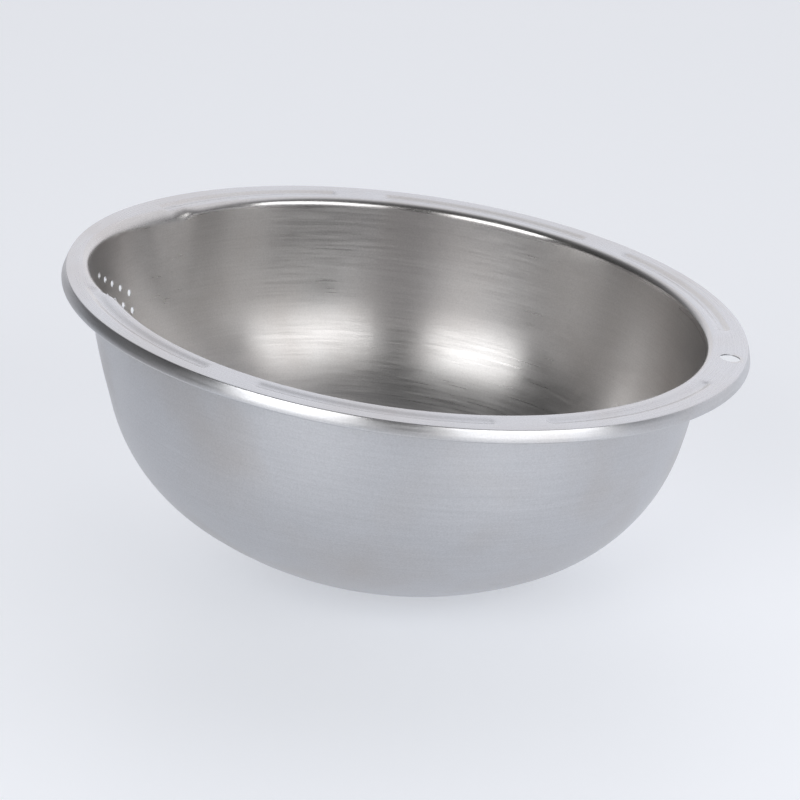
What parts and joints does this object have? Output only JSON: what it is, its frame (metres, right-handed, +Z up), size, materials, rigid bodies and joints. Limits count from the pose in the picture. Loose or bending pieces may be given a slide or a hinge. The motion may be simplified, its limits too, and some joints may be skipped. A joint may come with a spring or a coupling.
{
  "type": "strainer basin",
  "caption": "Round sheet steel basin with a flat flange and rolled edge, channels pressed in the flange, a perforated strainer bay, a hanging hole and a slanted foot flat.",
  "frame": {"origin": "centre of the foot's flat underside, on the surface the basin stands on", "axes": "+Z up, square to the foot flat; +X level, towards the hanging hole, the side that the rim leans down to; the part is symmetric about the XZ plane"},
  "size_m": [0.337, 0.34, 0.1593],
  "materials": {
    "steel": "satin stainless steel, finely brushed"
  },
  "bodies": {
    "root": {"basin": "steel"}
  },
  "joints": []
}
